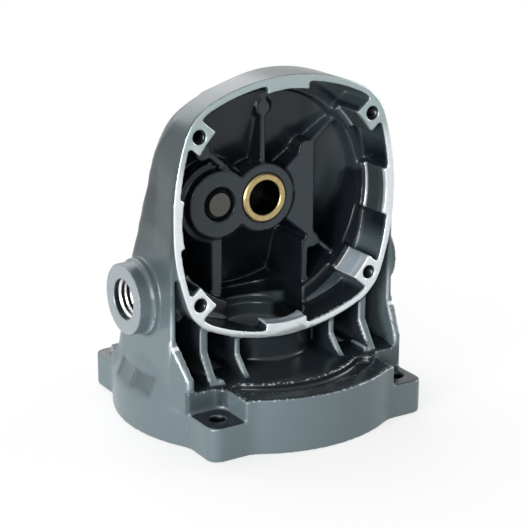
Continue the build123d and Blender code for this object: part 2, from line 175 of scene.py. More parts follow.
# %% White that keeps the shadow
white = bpy.data.materials.new("white_floor")
white.use_nodes = True
floor_tree = white.node_tree
nodes, links = floor_tree.nodes, floor_tree.links
pale = nodes["Principled BSDF"]
pale.inputs["Base Color"].default_value = (0.92, 0.92, 0.92, 1)
pale.inputs["Roughness"].default_value = 0.9
pale.inputs["Specular IOR Level"].default_value = 0.1
glow = nodes.new("ShaderNodeEmission")
glow.inputs["Color"].default_value = (1, 1, 1, 1)
distance = nodes.new("ShaderNodeVectorMath")
distance.operation = "LENGTH"
links.new(nodes.new("ShaderNodeTexCoord").outputs["Object"], distance.inputs[0])
share = fade(floor_tree, distance.outputs["Value"], SHADOW_STARTS, SHADOW_ENDS, WHITE_NEAR_PART, 1.0)
either = nodes.new("ShaderNodeMixShader")
links.new(math_node(floor_tree, "MULTIPLY", share, seen_by(floor_tree)), either.inputs["Fac"])
links.new(pale.outputs[0], either.inputs[1])
links.new(glow.outputs[0], either.inputs[2])
links.new(either.outputs[0], nodes["Material Output"].inputs["Surface"])
floor_mesh.materials.append(white)
print("floor laid")

# %% [markdown]
# ## The casting
# The solid has sharp corners where the real casting has small radii everywhere: molten metal doesn't
# fill a sharp corner, and the die wears round. A bevel on every edge would break up on the short
# edges of this shape. A voxel remesh gives an even skin instead, which can then be smoothed.

# %% Even skin
def evaluated_copy(obj, name):
    """A new mesh with the modifiers of obj worked in."""
    graph = bpy.context.evaluated_depsgraph_get()
    made = bpy.data.meshes.new_from_object(obj.evaluated_get(graph))
    made.name = name
    return made


VOXEL = 0.00047
casting = bpy.data.objects.new("casting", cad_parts["housing"].data.copy())
scene.collection.objects.link(casting)
remesh = casting.modifiers.new("even_skin", "REMESH")
remesh.mode = "VOXEL"
remesh.voxel_size = VOXEL
skin = evaluated_copy(casting, "casting")
casting.modifiers.clear()
casting.data = skin
print("skin:", len(skin.vertices), "points", len(skin.polygons), "faces")

# %% [markdown]
# ## Rounding
# Each round moves every point part of the way to the middle of its neighbours. Inner corners move
# most, because the metal fills them, and outer edges less. Points that a cutter has faced, on the
# rim and the register, keep still and stay sharp, and the bosses for the side handles nearly so.
# Blender's own Smooth modifier treats inner and outer corners alike. The arrays make this quick:
# all edges are handled at once.

# %% Points and edges as arrays
count = len(skin.vertices)
points = np.empty(count * 3)
skin.vertices.foreach_get("co", points)
points = points.reshape(-1, 3)
ends = np.empty(len(skin.edges) * 2, dtype=np.int64)
skin.edges.foreach_get("vertices", ends)
ends = ends.reshape(-1, 2)
valence = np.bincount(ends.ravel(), minlength=count).astype(float)


def neighbour_sum(values, edges):
    """The sum over each point's neighbours along some edges, for an array of columns."""
    total = np.empty_like(values)
    for k in range(values.shape[1]):
        total[:, k] = (np.bincount(edges[:, 0], values[edges[:, 1], k], count)
                       + np.bincount(edges[:, 1], values[edges[:, 0], k], count))
    return total


def neighbour_mean(values):
    """The mean of each point's neighbours."""
    return neighbour_sum(values, ends) / valence[:, None]


def point_normals():
    """The skin's normal at each point."""
    flat = np.empty(count * 3)
    skin.vertices.foreach_get("normal", flat)
    return flat.reshape(-1, 3)


print("arrays of", count, "points and", len(ends), "edges")

# %% Where the cutter went
SPINDLE_Z = 0.0752
RIM_Y = -0.021
RIM_FOOT_Z = 0.029
RIM_DEPTH = 0.0004
REGISTER_R = 0.0403
REGISTER_HALF = 0.0006
REGISTER_DEPTH = 0.0122

from_spindle = np.hypot(points[:, 0], points[:, 2] - SPINDLE_Z)
on_rim = (points[:, 1] < RIM_Y + RIM_DEPTH) & (points[:, 2] > RIM_FOOT_Z)
on_register = ((np.abs(from_spindle - REGISTER_R) < REGISTER_HALF)
               & (points[:, 1] < RIM_Y + REGISTER_DEPTH))
milled = on_rim | on_register
print("milled points:", int(milled.sum()), "of", count)

# %% Where the skin keeps its shape
HANDLE_Z = 0.0461
BOSS_ROOT_X = 0.0440
BOSS_R = 0.0170
BOSS_CRISPNESS = 0.35
BUTTON_X = -0.0176
BUTTON_PLACE_R = 0.0100


def off_button():
    """How far each point is from the axis of the lock button."""
    return np.hypot(points[:, 0] - BUTTON_X, points[:, 2] - SPINDLE_Z)


on_boss = ((np.abs(points[:, 0]) > BOSS_ROOT_X)
           & (np.hypot(points[:, 1], points[:, 2] - HANDLE_Z) < BOSS_R))
crisp = np.where(on_boss, BOSS_CRISPNESS, 1.0)
crisp[(off_button() < BUTTON_PLACE_R) & (points[:, 1] > 0.0)] = 0.0
print("points that keep their shape:", int((crisp < 1).sum()))

# %% Smooth the cast surface
ROUNDS = 12
ROUNDS_PER_NORMAL = 3
HOLLOW_SHARE = 0.62
EDGE_SHARE = 0.24
for turn in range(ROUNDS):
    if turn % ROUNDS_PER_NORMAL == 0:
        skin.vertices.foreach_set("co", points.ravel())
        skin.update()
        normals = point_normals()
    move = neighbour_mean(points) - points
    hollow = (move * normals).sum(1) > 0
    soft = crisp * np.where(hollow, HOLLOW_SHARE, EDGE_SHARE)
    points += np.where(milled, 0.0, soft)[:, None] * move
print("smoothed", ROUNDS, "rounds")

# %% [markdown]
# ## Shoulders of the head
# The real head is a little slimmer at half height and fuller near its top than the plain sweep of
# the solid. A lattice could bend it, but it would take the milled rim along. Here the points of the
# shoulders move along their own normals, as far as a short table of heights says, and the move
# fades out towards the rim, the middle and the lock button. Left and right are treated alike.

# %% Round the shoulders of the head
SHOULDER_HEIGHTS = (0.058, 0.064, 0.067, 0.070, 0.0735, 0.076, 0.0795, 0.082, 0.085, 0.088, 0.0905,
                    0.093, 0.096, 0.099, 0.1015, 0.1045, 0.107, 0.1095, 0.112, 0.114, 0.116, 0.118)
SHOULDER_MOVES = (0.0, -0.0005, -0.0008, -0.0007, -0.0010, -0.0010, -0.0012, -0.0015, -0.0017,
                  -0.0016, -0.0014, -0.0006, 0.0002, 0.0007, 0.0010, 0.0011, 0.0008, 0.0001,
                  -0.0006, -0.0007, -0.0006, -0.0003)
BUTTON_BOSS_R = 0.0155


def ramp(values, start, width):
    """From 0 to 1 as values go from start over width."""
    return np.clip((values - start) / width, 0, 1)


for way in (-1, 1):
    sideways = np.array((way * 0.847, 0.532, 0.0))
    into_head = np.array((-way * 0.506, 0.806, -0.307))
    edge_on = np.sqrt(np.clip(1 - (normals @ into_head) ** 2, 0, 1))
    # Only faces that look sideways, well off the middle and behind the rim, and not at the button
    weight = (ramp(edge_on, 0.70, 0.2) * ramp(normals @ sideways, 0.3, 0.3)
              * ramp(points[:, 0] * way, 0.012, 0.006) * ramp(points[:, 1], -0.019, 0.012)
              * (off_button() > BUTTON_BOSS_R))
    moves = np.interp(points[:, 2], SHOULDER_HEIGHTS, SHOULDER_MOVES)
    points += (weight * moves)[:, None] * normals
print("shoulders moved by", min(SHOULDER_MOVES), "to", max(SHOULDER_MOVES), "m")

# %% [markdown]
# ## Fairing
# The voxel grid leaves faint steps on slanted walls, and a satin finish shows every one of them.
# More smoothing would take them out but shrink the part. Fairing takes one step in and a slightly
# longer step out again, which flattens ripples and keeps the size.

# %% Fair a set of points
OVERSHOOT = 0.012


def fair(chosen, rounds, strength, flat_axis=None):
    """Take ripples out of the chosen points without shrinking them."""
    touching = ends[chosen[ends].any(axis=1)]
    degree = np.maximum(np.bincount(touching.ravel(), minlength=count), 1)[:, None]
    for turn in range(rounds):
        for step in (strength, -strength - OVERSHOOT):
            move = step * (neighbour_sum(points, touching) / degree - points)
            if flat_axis is not None:
                move[:, flat_axis] = 0.0
            points[chosen] += move[chosen]


Y_AXIS = 1
fair(on_register & ~on_rim, rounds=10, strength=0.55)
fair(on_rim, rounds=14, strength=0.55, flat_axis=Y_AXIS)
print("faired", int(on_rim.sum()), "rim points")

# %% Fair the outside of the head
BACK_Y = 0.0106
LEAN = 0.3249
HEAD_FOOT_Z = 0.064
BAND_FRONT_Y = -0.0055
CHAMBER_WALL_R = 0.0388
BACK_WALL = 0.0024
BUTTON_LAND_R = 0.0145

beyond_back = points[:, 1] - (BACK_Y - LEAN * (points[:, 2] - SPINDLE_Z))
head_outside = ((points[:, 2] > HEAD_FOOT_Z) & (points[:, 1] > BAND_FRONT_Y)
                & ((from_spindle > CHAMBER_WALL_R) | (beyond_back > -BACK_WALL))
                & (off_button() > BUTTON_LAND_R))
fair(head_outside, rounds=160, strength=0.62)
print("faired", int(head_outside.sum()), "points of the head")

# %% [markdown]
# ## Recess of the lock button
# The button slides in a round recess in the back of the head. A cutter made it, so its wall is truly
# round and its floor flat, and the button clears it by a fraction of a millimetre. The remesh leaves
# it a little narrow. The points of the wall are pushed out to its radius and those of the floor onto
# one plane, because cutting it again with a boolean would leave slivers.

# %% Square up the recess that the button slides in
RECESS_R = 0.0085
RECESS_FLOOR_Y = 0.0084
RECESS_MOUTH_Y = 0.0149

off_axis = points[:, [0, 2]] - np.array((BUTTON_X, SPINDLE_Z))
from_button = np.hypot(off_axis[:, 0], off_axis[:, 1])
in_recess = ((from_button < RECESS_R + 0.0001) & (points[:, 1] > RECESS_FLOOR_Y - 0.0002)
             & (points[:, 1] < RECESS_MOUTH_Y))
at_wall = in_recess & (from_button > RECESS_R - 0.0005)
at_floor = in_recess & (points[:, 1] < RECESS_FLOOR_Y + 0.0009)
widen = np.where(at_wall, np.maximum(RECESS_R / np.maximum(from_button, 1e-6), 1.0), 1.0)
points[:, 0] = BUTTON_X + off_axis[:, 0] * widen
points[:, 2] = SPINDLE_Z + off_axis[:, 1] * widen
points[at_floor, 1] = np.minimum(points[at_floor, 1], RECESS_FLOOR_Y)
print("recess points squared up:", int((at_wall | at_floor).sum()))

# %% [markdown]
# ## Scoops on the flank
# Low on the left flank, where the head runs into the flange, the casting has two shallow flat
# places, side by side. Each is a plane that takes off what stands out beyond it, within soft limits,
# as a few strokes with a flat file would. A few lines on the points do that, and leave the rest of
# the skin as even as it was.

# %% Two flat scoops low on the left flank
# Each scoop: which way its plane faces, how far that plane is from the origin, and its reach along Y
SCOOPS = (((-0.892, 0.179, 0.417), 0.0508, 0.0014, 0.0142),
          ((-0.910, -0.090, 0.405), 0.0508, -0.0116, 0.0008))
SCOOP_EDGE = 0.0014
SCOOP_FOOT_Z = 0.0134
SCOOP_HEAD_Z = 0.0208
for outward, depth, from_y, to_y in SCOOPS:
    over = np.clip(points @ np.array(outward) - depth, 0, None)
    y, z = points[:, 1], points[:, 2]
    here = (ramp(y, from_y, SCOOP_EDGE) * ramp(-y, -to_y, SCOOP_EDGE)
            * ramp(z, SCOOP_FOOT_Z, SCOOP_EDGE) * ramp(-z, -SCOOP_HEAD_Z, SCOOP_EDGE))
    points -= (over * here)[:, None] * np.array(outward)
    print("scoop takes off up to", round(float((over * here).max()) * 1000, 2), "mm")

# %% Put the smoothed points back
skin.vertices.foreach_set("co", points.ravel())
skin.update()
print("smoothed to", [round(float(v), 4) for v in points.max(0) - points.min(0)])

# %% [markdown]
# ## Edge wear as data
# Paint is thin and rubs off on outer edges first, and inner corners get painted shade. The bend of
# the skin at each point says which is which. It is measured on the even skin, which is then thinned
# out to a size that a part can carry. Each point left takes the mean bend of the points that were in
# the same small cell of space. A pointiness node would give the same at render time, but it changes
# with the mesh and doesn't export.

# %% Bend of the skin
BEND_ROUNDS = 2
bend = ((neighbour_mean(points) - points) * point_normals()).sum(1)[:, None] / VOXEL
for turn in range(BEND_ROUNDS):
    bend = 0.5 * bend + 0.5 * neighbour_mean(bend)
bend = bend[:, 0]
print("bend from", round(float(bend.min()), 3), "to", round(float(bend.max()), 3))

# %% Thin the skin out
MOST_TRIANGLES = 190000
thinner = casting.modifiers.new("thinner", "DECIMATE")
thinner.ratio = MOST_TRIANGLES / (2 * len(skin.polygons))
skin = evaluated_copy(casting, "casting")
casting.modifiers.clear()
casting.data = skin
skin.validate()
skin.polygons.foreach_set("use_smooth", [True] * len(skin.polygons))
kept = np.empty(len(skin.vertices) * 3)
skin.vertices.foreach_get("co", kept)
kept = kept.reshape(-1, 3)
print("thinned to", sum(len(p.vertices) - 2 for p in skin.polygons), "triangles")

# %% Carry the bend over
cell = 2 * VOXEL
low = points.min(0) - cell
size = np.ceil((points.max(0) + cell - low) / cell).astype(np.int64) + 1


def cell_number(p):
    """One number for the cell of a coarse grid that each point is in."""
    k = np.floor((p - low) / cell).astype(np.int64)
    return (k[:, 0] * size[1] + k[:, 1]) * size[2] + k[:, 2]


homes = cell_number(points)
members = np.bincount(homes, minlength=int(size.prod()))
sums = np.bincount(homes, bend, minlength=int(size.prod()))
values = (sums / np.maximum(members, 1))[cell_number(kept)]
stored = skin.attributes.new("bend", "FLOAT", "POINT")
stored.data.foreach_set("value", values.astype(np.float32))
print("bend carried to", len(values), "points")

# %% Hang the casting on its body
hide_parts("housing")
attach(casting, "case")
print("casting rides on case")

# %% [markdown]
# ## Casting finish
# The outside is satin grey paint with a slight metallic sheen. The chamber and the hollows under the
# head get painted shade, near black, and the rim and the pads of the register are bare milled
# aluminium.
# A painted image would need the part unwrapped, and would be sharp at one size only. Here each place
# is a mask from 0 to 1, worked out from where a point lies on the part and which way it faces.

# %% Helpers for node materials
def new_material(name):
    """An empty node material, its tree, and where each point lies on the part."""
    made = bpy.data.materials.new(name)
    made.use_nodes = True
    made.node_tree.nodes.clear()
    return made, made.node_tree, made.node_tree.nodes.new("ShaderNodeTexCoord").outputs["Object"]


def axes_of(tree, vector):
    """The three numbers of a vector socket."""
    split = tree.nodes.new("ShaderNodeSeparateXYZ")
    tree.links.new(vector, split.inputs[0])
    return split.outputs


def far_from(tree, first, second):
    """How far two numbers lie from zero together, as a radius."""
    squares = [math_node(tree, "MULTIPLY", value, value) for value in (first, second)]
    return math_node(tree, "SQRT", math_node(tree, "ADD", *squares))


def noise(tree, where, scale, detail=3.0, roughness=0.5):
    """Noise in metres, so a scale of 1000 has features about a millimetre wide."""
    node = tree.nodes.new("ShaderNodeTexNoise")
    tree.links.new(where, node.inputs["Vector"])
    node.inputs["Scale"].default_value = scale
    node.inputs["Detail"].default_value = detail
    node.inputs["Roughness"].default_value = roughness
    return node.outputs["Fac"]


def spread(tree, tone, low=0.0, high=1.0):
    """From low to high over the middle of a noise, where nearly all of its values lie."""
    return fade(tree, tone, 0.3, 0.7, low, high)


print("helpers for masks ready")

# %% Helpers for colour, bump and shader
def blend(tree, amount, first, second):
    """The first colour where amount is 0, the second where it is 1."""
    node = tree.nodes.new("ShaderNodeMix")
    node.data_type = "RGBA"
    tree.links.new(amount, node.inputs[0])
    for slot, value in ((node.inputs[6], first), (node.inputs[7], second)):
        if isinstance(value, tuple):
            slot.default_value = (*value, 1.0)
        else:
            tree.links.new(value, slot)
    return node.outputs[2]


def bump(tree, height, distance):
    """A bump of the height socket, with its full height in metres."""
    node = tree.nodes.new("ShaderNodeBump")
    node.inputs["Strength"].default_value = 1.0
    node.inputs["Distance"].default_value = distance
    tree.links.new(height, node.inputs["Height"])
    return node.outputs["Normal"]


def shade_with(tree, inputs):
    """The shader and its output. A plain number is set on the shader's own socket."""
    shader = tree.nodes.new("ShaderNodeBsdfPrincipled")
    for name, value in inputs.items():
        if isinstance(value, float):
            shader.inputs[name].default_value = value
        else:
            tree.links.new(value, shader.inputs[name])
    output = tree.nodes.new("ShaderNodeOutputMaterial")
    tree.links.new(shader.outputs[0], output.inputs["Surface"])


print("helpers for finishes ready")

# %% Soft borders on the casting
finish, tree, where = new_material("cast_housing")


def above(value, edge, soft):
    """1 where value is past edge, over a soft width."""
    return fade(tree, value, edge, edge + soft)


def below(value, edge, soft):
    """1 where value is short of edge, over a soft width."""
    return fade(tree, value, edge, edge - soft)


def times(first, second):
    """Two masks or numbers multiplied."""
    return math_node(tree, "MULTIPLY", first, second)


def less(first, second):
    """The first number less the second."""
    return math_node(tree, "SUBTRACT", first, second)


def scaled(value, factor, base):
    """A value times a factor, on top of a base."""
    return math_node(tree, "MULTIPLY_ADD", value, factor, base)


print("soft borders ready")

# %% Masks put together
def all_of(*masks):
    """Where every mask holds."""
    result = masks[0]
    for mask in masks[1:]:
        result = times(result, mask)
    return result


def any_of(*masks):
    """Where one mask or another holds."""
    result = masks[0]
    for mask in masks[1:]:
        result = math_node(tree, "MAXIMUM", result, mask)
    return result


def between(value, start, end, soft):
    """1 where value is between start and end."""
    return times(above(value, start, soft), below(value, end, soft))


def outside(mask):
    """Where a mask doesn't hold."""
    return less(1.0, mask)


print("masks ready")

# %% Places on the casting
px, py, pz = axes_of(tree, where)
nx, ny, nz = axes_of(tree, tree.nodes.new("ShaderNodeNewGeometry").outputs["Normal"])
across = math_node(tree, "ABSOLUTE", px)
spindle_radius = far_from(tree, px, less(pz, SPINDLE_Z))
shaft_radius = far_from(tree, px, py)
handle_radius = far_from(tree, py, less(pz, HANDLE_Z))
bent = tree.nodes.new("ShaderNodeAttribute")
bent.attribute_name = "bend"
bent = bent.outputs["Fac"]
print("places ready")

# %% Milled places
rim = all_of(between(py, RIM_Y - 0.0005, RIM_Y + 0.0005, 0.0002), above(pz, RIM_FOOT_Z, 0.0005),
             below(ny, -0.45, 0.30))
off_register = math_node(tree, "ABSOLUTE", less(spindle_radius, REGISTER_R))
ring = all_of(below(off_register, 0.00055, 0.00015), below(py, RIM_Y + 0.0120, 0.0004))
milled_place = any_of(rim, ring)
print("milled places ready")

# %% [markdown]
# ## Dark places
# The chamber, the hollows under the head, the bores and the shaded faces of the flange get painted
# shade, near black, so they stay dark under the lamps. Ambient occlusion would darken them too, but
# it is slow, and it can't tell a milled pocket from a painted one. So each of them gets its own
# mask,
# which leaves out the faces that stay lit: the back of the head and the front of the feet.

# %% The chamber and the hollow under it
CHAMBER_R = 0.0437
HOLLOW_R = 0.0440
HOLLOW_HALF_WIDTH = 0.0434
HOLLOW_FOOT_Z = 0.0130
HOLLOW_HEAD_Z = 0.0445
FEET_FOOT_Z = 0.0202
MIDDLE_HALF_WIDTH = 0.0178
BACK_SKIN_DEPTH = 0.017

behind = scaled(pz, LEAN, py)
back_skin = all_of(above(ny, 0.05, 0.15),
                   above(behind, BACK_Y + LEAN * SPINDLE_Z - BACK_SKIN_DEPTH, 0.003))
in_head = all_of(above(py, RIM_Y + 0.0008, 0.0010), below(spindle_radius, CHAMBER_R, 0.0012),
                 outside(back_skin))
under_head = all_of(below(shaft_radius, HOLLOW_R, 0.0012), below(py, 0.0080, 0.0030),
                    below(pz, HOLLOW_HEAD_Z, 0.0045), above(pz, HOLLOW_FOOT_Z, 0.0004),
                    below(across, HOLLOW_HALF_WIDTH, 0.0006),
                    any_of(above(ny, -0.75, 0.35), below(pz, FEET_FOOT_Z, 0.0004),
                           below(across, MIDDLE_HALF_WIDTH, 0.0008)))
print("hollows ready")

# %% Bores and screw holes
BOSS_END_X = 0.0523
HANDLE_BORE_R = 0.0073
BUSH_BOSS_R = 0.0088
BUSH_BOSS_Y = -0.0062
COVER_SCREW_X, COVER_SCREW_Z = 0.034, 0.0285
COVER_HOLE_R = 0.0026
COVER_HOLE_DEPTH = 0.0150
MOTOR_SCREW_X, MOTOR_SCREW_Y = 0.0362, 0.0346
MOTOR_HOLE_R = 0.0032
LUG_TOP_Z = 0.0119

in_bore = all_of(below(handle_radius, HANDLE_BORE_R, 0.0002),
                 below(across, BOSS_END_X - 0.0003, 0.0004))
in_bush = all_of(below(spindle_radius, BUSH_BOSS_R, 0.0005), above(py, BUSH_BOSS_Y, 0.0010),
                 outside(back_skin))
from_spindle_z = math_node(tree, "ABSOLUTE", less(pz, SPINDLE_Z))
cover_hole = far_from(tree, less(across, COVER_SCREW_X), less(from_spindle_z, COVER_SCREW_Z))
cover_hole = all_of(below(cover_hole, COVER_HOLE_R, 0.0002), above(py, RIM_Y + 0.0004, 0.0004),
                    below(py, RIM_Y + COVER_HOLE_DEPTH, 0.0010))
motor_hole = far_from(tree, less(across, MOTOR_SCREW_X),
                      less(math_node(tree, "ABSOLUTE", py), MOTOR_SCREW_Y))
motor_hole = all_of(below(motor_hole, MOTOR_HOLE_R, 0.0003), below(pz, LUG_TOP_Z, 0.0004))
hole = any_of(cover_hole, motor_hole)
print("holes ready")

# %% Shaded faces of the flange and the feet
SHELF_Z = 0.0200
FLANGE_TOP_DARK = 0.85
NOTCH_DARK = 0.45
NOTCH_FRONT_Y, NOTCH_BACK_Y = -0.0295, -0.0262
NOTCH_X = 0.0290
RIB_FOOT_Z, RIB_HEAD_Z = 0.0198, 0.0460
RIB_HALF_WIDTH = 0.0425

flange_top = all_of(above(nz, 0.70, 0.20), above(pz, 0.0100, 0.0005), below(pz, 0.0240, 0.0015))
notch_wall = all_of(between(py, NOTCH_FRONT_Y, NOTCH_BACK_Y, 0.0005),
                    above(across, NOTCH_X, 0.0005), between(pz, LUG_TOP_Z + 0.0001, SHELF_Z, 0.0004))
rib_front = all_of(below(ny, -0.4, 0.3), below(across, RIB_HALF_WIDTH, 0.0010),
                   above(pz, RIB_FOOT_Z, 0.0004), below(pz, RIB_HEAD_Z, 0.0020),
                   above(py, RIM_Y + 0.0015, 0.0010))
# All of these places get painted shade, darker than their paint.
painted_shade_places = any_of(in_head, under_head, in_bore, in_bush, times(flange_top, FLANGE_TOP_DARK),
                times(any_of(notch_wall, rib_front), NOTCH_DARK))
print("shaded faces ready")

# %% Boss faces, scoops and edges
BOSS_FACE_R = 0.0122
SCOOP_X = -0.0440
SCOOP_FRONT_Y, SCOOP_BACK_Y = -0.0121, 0.0147

boss_face = all_of(above(across, BOSS_END_X - 0.0006, 0.0003),
                   below(handle_radius, BOSS_FACE_R, 0.0003))
scoop = all_of(below(px, SCOOP_X, 0.0005), between(py, SCOOP_FRONT_Y, SCOOP_BACK_Y, 0.0015),
               between(pz, SCOOP_FOOT_Z - 0.0003, SCOOP_HEAD_Z + 0.0003, 0.0013))
outer_edge = below(bent, -0.07, 0.13)
slight_edge = below(bent, -0.02, 0.06)
inner_corner = above(bent, 0.02, 0.08)
print("edges ready")

# %% [markdown]
# ## Paint, painted light and painted shade
# The grey is paler low on the part than on the head, and a little paler again on the crown. This is
# painted reflection and light: lighter low down, where the paint would mirror the bright floor,
# darker on the head, and lighter on the crown that faces the lamps. The colours are laid over each
# other like
# coats: paint, painted shade in the hollows and in the corners. One ramp with many stops would be
# shorter, but a coat is easier to change. A slow noise moves the borders about, because a border
# that follows a plain height looks drawn.

# %% Grey paint
# Painted light and reflection: lighter low down, darker on the head, lighter again on the crown.
PAINT_LOW_LIT, PAINT_HIGH_SHADED = (0.105, 0.140, 0.152), (0.028, 0.040, 0.044)
PAINT_CROWN_LIT = (0.056, 0.076, 0.081)
PAINT_BOSS_FACE = (0.225, 0.255, 0.270)
SCOOP_SHADE = (0.035, 0.049, 0.055)
BORDER_WANDER = 0.03
BOSS_FACE_COVER, SCOOP_SHADE_COVER = 0.85, 0.55

cloud = noise(tree, where, 60.0, 3.0)
grain = noise(tree, where, 2600.0, 2.0)
high = scaled(cloud, BORDER_WANDER, pz)
paint = blend(tree, above(high, 0.052, 0.032), PAINT_LOW_LIT, PAINT_HIGH_SHADED)
paint = blend(tree, times(boss_face, BOSS_FACE_COVER), paint, PAINT_BOSS_FACE)
paint = blend(tree, above(pz, 0.104, 0.012), paint, PAINT_CROWN_LIT)
# The two scoops get painted shade, darker than the paint around them.
paint = blend(tree, times(scoop, SCOOP_SHADE_COVER), paint, SCOOP_SHADE)
print("paint mixed")

# %% Painted shade in the hollows
# Painted shade for the hollows: near black, with a slow change of tone. The right inner wall, the
# web and the front of the hollow under the head get less of it, as painted light.
SHADE_DEEP, SHADE_PALE = (0.004, 0.006, 0.009), (0.012, 0.016, 0.021)
SHADE_WHERE_LIT = (0.027, 0.036, 0.042)
CORNER_SHADE = (0.010, 0.014, 0.017)

lit_wall_reach = fade(tree, pz, 0.078, 0.084, 0.0358, 0.0410)
lit_inner_wall = all_of(in_head, above(px, 0.018, 0.006), above(pz, 0.060, 0.010),
                below(less(spindle_radius, lit_wall_reach), 0.0008, 0.0012))
web_face = all_of(in_head, above(py, -0.0066, 0.0002), below(py, -0.0028, 0.0004),
                  below(ny, -0.965, 0.020))
hollow_front = times(all_of(under_head, below(py, -0.012, 0.006)), 0.4)
painted_shade = blend(tree, spread(tree, cloud), SHADE_DEEP, SHADE_PALE)
painted_shade = blend(tree, any_of(lit_inner_wall, web_face, hollow_front), painted_shade, SHADE_WHERE_LIT)
cast = blend(tree, painted_shade_places, paint, painted_shade)
# Inner corners get painted shade.
cast = blend(tree, times(inner_corner, 0.5), cast, CORNER_SHADE)
print("oil mixed")

# %% [markdown]
# ## Wear and edge highlights
# Where the casting is handled, paint comes off the outer edges in short scratches and bright metal
# shows. The ribs under the rim get a painted highlight along their whole length, on the edges that
# face the lamps on the left, and a fine burr is left where the flange was trimmed. A Bevel node
# could find the edges at each render, but the bend that the skin already carries is quicker and
# stays with the mesh. A noise breaks the line up.

# %% Worn edges and painted edge highlights
BRIGHT_METAL_AND_HIGHLIGHT = (0.55, 0.60, 0.62)
HOLE_SHADE = (0.004, 0.005, 0.006)
SCRATCHED, UNSCRATCHED = 0.8, 0.1
EDGE_HIGHLIGHT_COVER, BURR_COVER = 0.65, 0.6

scratch = fade(tree, noise(tree, where, 420.0, 4.0, 0.6), 0.50, 0.60)
wear_and_highlight = all_of(outer_edge, scaled(scratch, SCRATCHED - UNSCRATCHED, UNSCRATCHED), outside(in_head))
# Painted highlight on the rib edges that face the lamps on the left.
edge_highlight = all_of(slight_edge, above(pz, 0.0205, 0.0010), below(pz, 0.0480, 0.0080),
                below(py, -0.006, 0.004), below(across, 0.0485, 0.0005), below(nx, 0.10, 0.35))
burr = all_of(slight_edge, above(pz, 0.0186, 0.0004), below(pz, SHELF_Z, 0.0003),
              above(noise(tree, where, 900.0, 2.0), 0.54, 0.06))
wear_and_highlight = any_of(wear_and_highlight, times(edge_highlight, EDGE_HIGHLIGHT_COVER), times(burr, BURR_COVER))
# Bright metal for the worn edges, and as painted highlight on the rib edges.
cast = blend(tree, wear_and_highlight, cast, BRIGHT_METAL_AND_HIGHLIGHT)
# The screw holes get painted shade, near black.
cast = blend(tree, hole, cast, HOLE_SHADE)
print("wear mixed")

# %% Bare metal of the rim and the register
BARE_FIRST, BARE_SECOND = (0.58, 0.62, 0.64), (0.68, 0.72, 0.74)
BARE_CROWN_SHADED = (0.31, 0.375, 0.38)
PAD_LOW_LIT, PAD_HIGH_SHADED = (0.58, 0.68, 0.76), (0.062, 0.081, 0.088)

bare = blend(tree, spread(tree, grain), BARE_FIRST, BARE_SECOND)
# The crown of the rim gets painted shade, darker than the rest of the bare metal.
bare = blend(tree, above(high, 0.104, 0.010), bare, BARE_CROWN_SHADED)
# Painted light and shade on the register pads: lighter low down, where they face the lamps, darker
# higher up.
pad = blend(tree, above(pz, 0.050, 0.010), PAD_LOW_LIT, PAD_HIGH_SHADED)
pad_end = any_of(below(py, RIM_Y + 0.0020, 0.0006), above(py, RIM_Y + 0.0100, 0.0006))
pad = blend(tree, pad_end, pad, bare)
bare = blend(tree, all_of(ring, outside(rim)), bare, pad)
colour = blend(tree, milled_place, cast, bare)
print("colours mixed")

# %% [markdown]
# ## Surface of the casting
# Cast and painted aluminium has a fine, even grain, and the milled faces have the close slanted
# lines of the cutter. Displacement would need millions of faces to show either, so they are a bump
# of two hundredths of a millimetre. The places with painted shade shine more sharply than paint, but
# less strongly.

# %% Shine and surface of the casting
METAL_PAINTED, METAL_MILLED = 0.2, 0.6
SHINE_PAINTED, SHINE_SHADED = 0.5, 0.36
GRAIN_HEIGHT = 0.000022
CUTTER_SHARE = 0.12
ROUGH_LEAST, ROUGH_MOST = 0.27, 0.34
SHADE_SMOOTHS = 0.08

metal = scaled(milled_place, METAL_MILLED - METAL_PAINTED, METAL_PAINTED)
rough = scaled(painted_shade_places, -SHADE_SMOOTHS, spread(tree, cloud, ROUGH_LEAST, ROUGH_MOST))
shine = scaled(any_of(painted_shade_places, hole), SHINE_SHADED - SHINE_PAINTED, SHINE_PAINTED)
cutter = tree.nodes.new("ShaderNodeTexWave")
cutter.bands_direction = "DIAGONAL"
cutter.inputs["Scale"].default_value = 700.0
cutter.inputs["Distortion"].default_value = 1.0
tree.links.new(where, cutter.inputs["Vector"])
height = scaled(times(cutter.outputs["Fac"], milled_place), CUTTER_SHARE,
                times(grain, outside(milled_place)))
shade_with(tree, {"Base Color": colour, "Metallic": metal, "Roughness": rough,
                  "Specular IOR Level": shine, "Normal": bump(tree, height, GRAIN_HEIGHT)})
casting.data.materials.clear()
casting.data.materials.append(finish)
print("casting finished")

# %% [markdown]
# ## Brass bush and steel pin
# Both are turned on a lathe, so their faint grooves run in rings around their own axis. A height
# that depends only on the distance from that axis gives such rings, which an ordinary noise can't.
# The pin is ground, warm grey and a little oily. The bush is pale brass, with painted shade inside
# its bore.

# %% Turned metal
RING_HEIGHT = 0.000006
BORE_SHADE = (0.012, 0.010, 0.007)


